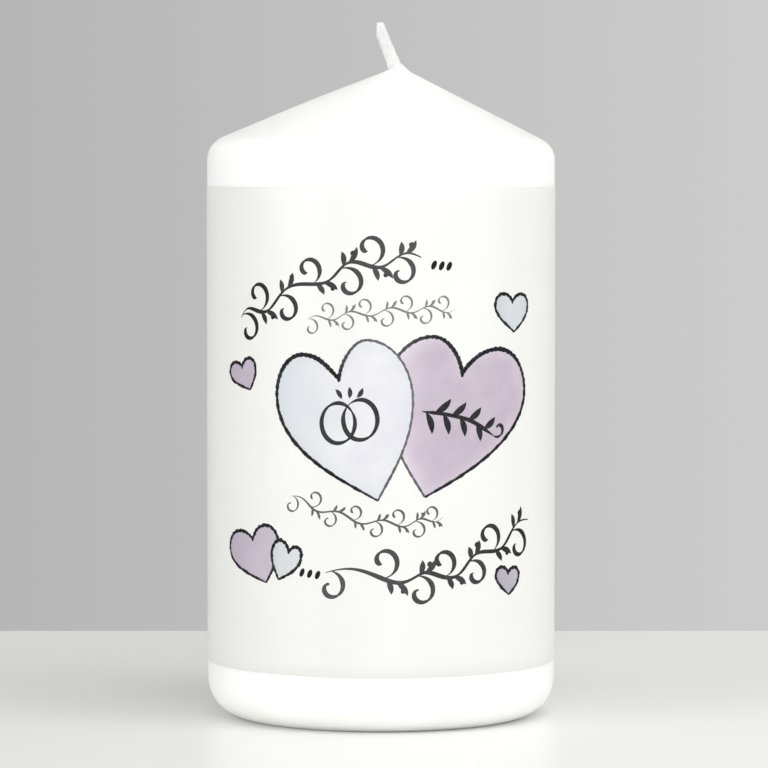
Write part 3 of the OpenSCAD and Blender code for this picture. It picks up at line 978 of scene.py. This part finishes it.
# The two rings and the sprig are drawn on the two big hearts, in mm.
rings = {
    "middles": ((-9.6, 69.8), (-4.6, 70.6)),
    "starts": (0.5, 2.2),
    "halfWidth": 3.8,
    "halfHeight": 4.5,
    "strokes": ((0, 1.1), (0.28, 0.55)),    # how far each time round strays, and its width
    "buds": (((-7.1, 75.3), 90), ((-8.8, 75.1), 122), ((-5.4, 75.5), 58)),
}
sprig = {
    "stem": [(9.2, 72.4), (15, 71.6), (21, 70.0), (27, 66.6)],
    "pen": 1.05,
    "leaves": 8,
    "leafLength": 5.2,
    "leafWidth": 1.5,
    "shorter": 0.16,            # how much shorter each leaf is than the last
}


def drawOn(name, layer, lines):
    # Pen lines, each a path, a width and a fade, on a heart's wash.
    addInk(name, [stroke(*line, layers[layer], layers["line"]) for line in lines], inks["pen"])


def makeRings():
    # Two linked rings, each drawn twice round, with a spray of buds over them.
    t = np.linspace(0, fullTurn * 1.04, 140)
    lines = []
    for middle, start in zip(rings["middles"], rings["starts"]):
        for drift, pen in rings["strokes"]:
            x = (rings["halfWidth"] + drift) * np.cos(t + start)
            y = (rings["halfHeight"] - drift) * np.sin(t + start)
            path = np.asarray(middle) + np.stack([x, y], axis=-1)
            lines.append((path, penWidth(path, pen), 0.2))
    lines += [(*leaf(place, heading, 2.6, 1.05), 0.25) for place, heading in rings["buds"]]
    drawOn("linkedRings", "frontWash", lines)


def makeSprig():
    # A leafy sprig with a curl at its end.
    stem = curve(sprig["stem"], 140)
    lines = [(stem, penWidth(stem, sprig["pen"]), 0.1)]
    for k in range(sprig["leaves"]):
        start = stem[6 + 16 * k]
        side = 1 if k % 2 else -1
        length = sprig["leafLength"] - sprig["shorter"] * k
        lines.append((*leaf(start, -18 + side * 55, length, sprig["leafWidth"], side * 0.7), 0.1))
    path = curl(stem[-1], -36, 6.5, 0.9)
    lines.append((path, penWidth(path, 1.0), 0.15))
    drawOn("leafSprig", "backWash", lines)


makeRings()
makeSprig()


studio = {
    "wall": ((0.467, 0.467, 0.467), (0.607, 0.607, 0.607)),   # grey from left to right
    # The floor's two colours are painted light, not the floor's own tone.
    "floor": ((0.785, 0.785, 0.765), (0.92, 0.92, 0.91)),     # from the far left to the near right
    # Each light's place, width, height, power in watts and what it faces.
    "lights": {
        "frontLight": ((0.1, -2.4, 0.42), 1.3, 1.5, 10, (0, 0, 0.07)),
        "leftLight": ((-1.8, -1.15, 0.5), 1.2, 1.2, 22.5, (0, 0, 0.07)),
        "rightLight": ((1.7, -1.0, 0.6), 1.2, 1.2, 14, (0, 0, 0.07)),
        "topLight": ((0.35, -0.6, 1.6), 1.2, 1.0, 10.5, (0.1, -0.3, 0)),
    },
    "tableEdge": 0.17,          # how far behind the candle the table ends
    "tableReach": 3,
    # The camera, its lens in mm and how many degrees it looks down.
    "cameraPlace": (0, -1.0, 0.1314),
    "lens": 203.25,
    "lookDown": 3.15,
    "shift": 0.0039,
}


def makeStudio():
    world = bpy.data.worlds.new("studioWorld")
    scene.world = world
    world.use_nodes = True
    tree = world.node_tree
    place = tree.nodes.new("ShaderNodeTexCoord").outputs["Generated"]
    split = tree.nodes.new("ShaderNodeSeparateXYZ")
    tree.links.new(place, split.inputs[0])
    share = remap(tree, split.outputs[0], 0, 1, -0.09, 0.09)
    colour = blendColours(tree, share, *studio["wall"])
    tree.links.new(colour, tree.nodes["Background"].inputs["Color"])
    # The table: one flat face, whose colour is painted light that grows paler from the far left to the near
    # right.
    edge, reach = studio["tableEdge"], studio["tableReach"]
    corners = np.array([[(x, edge, 0), (x, -reach, 0)] for x in (-reach, reach)], float)
    places, quads, _ = gridPart(corners, closeColumns=False)
    mesh = bpy.data.meshes.new("studioFloor")
    mesh.from_pydata(places.tolist(), [], quads.tolist())
    material, tree, shader = newMaterial("floorPaintedLight", 0.32)
    slant = tree.nodes.new("ShaderNodeVectorMath")
    slant.operation = "DOT_PRODUCT"
    slant.inputs[1].default_value = (1, -1, 0)
    tree.links.new(objectPlace(tree), slant.inputs[0])
    # Painted light: the floor's colour blends paler from the far left to the near right.
    tone = remap(tree, slant.outputs["Value"], 0, 1, -0.18, 0.18)
    paint(tree, shader, tone, *studio["floor"])
    mesh.materials.append(material)
    floor = bpy.data.objects.new("studioFloor", mesh)
    scene.collection.objects.link(floor)
    for name, (place, width, height, power, aim) in studio["lights"].items():
        lamp = bpy.data.lights.new(name, "AREA")
        lamp.shape = "RECTANGLE"
        lamp.size, lamp.size_y = width, height
        lamp.energy = power
        light = bpy.data.objects.new(name, lamp)
        scene.collection.objects.link(light)
        x, y, z = np.array(aim) - np.array(place)
        light.location = place
        light.rotation_euler = (math.atan2(math.hypot(x, y), -z), 0, math.atan2(-x, y))
    scene.view_settings.view_transform = "Standard"


def makeCamera():
    # A long lens at the height of the wrap, looking down a little.
    camera = bpy.data.cameras.new("studioCamera")
    camera.lens = studio["lens"]
    camera.sensor_width = 36
    camera.shift_x = studio["shift"]
    body = bpy.data.objects.new("studioCamera", camera)
    scene.collection.objects.link(body)
    body.location = studio["cameraPlace"]
    body.rotation_euler = (math.radians(90 - studio["lookDown"]), 0, 0)
    scene.camera = body


makeStudio()
makeCamera()
print("studio made")
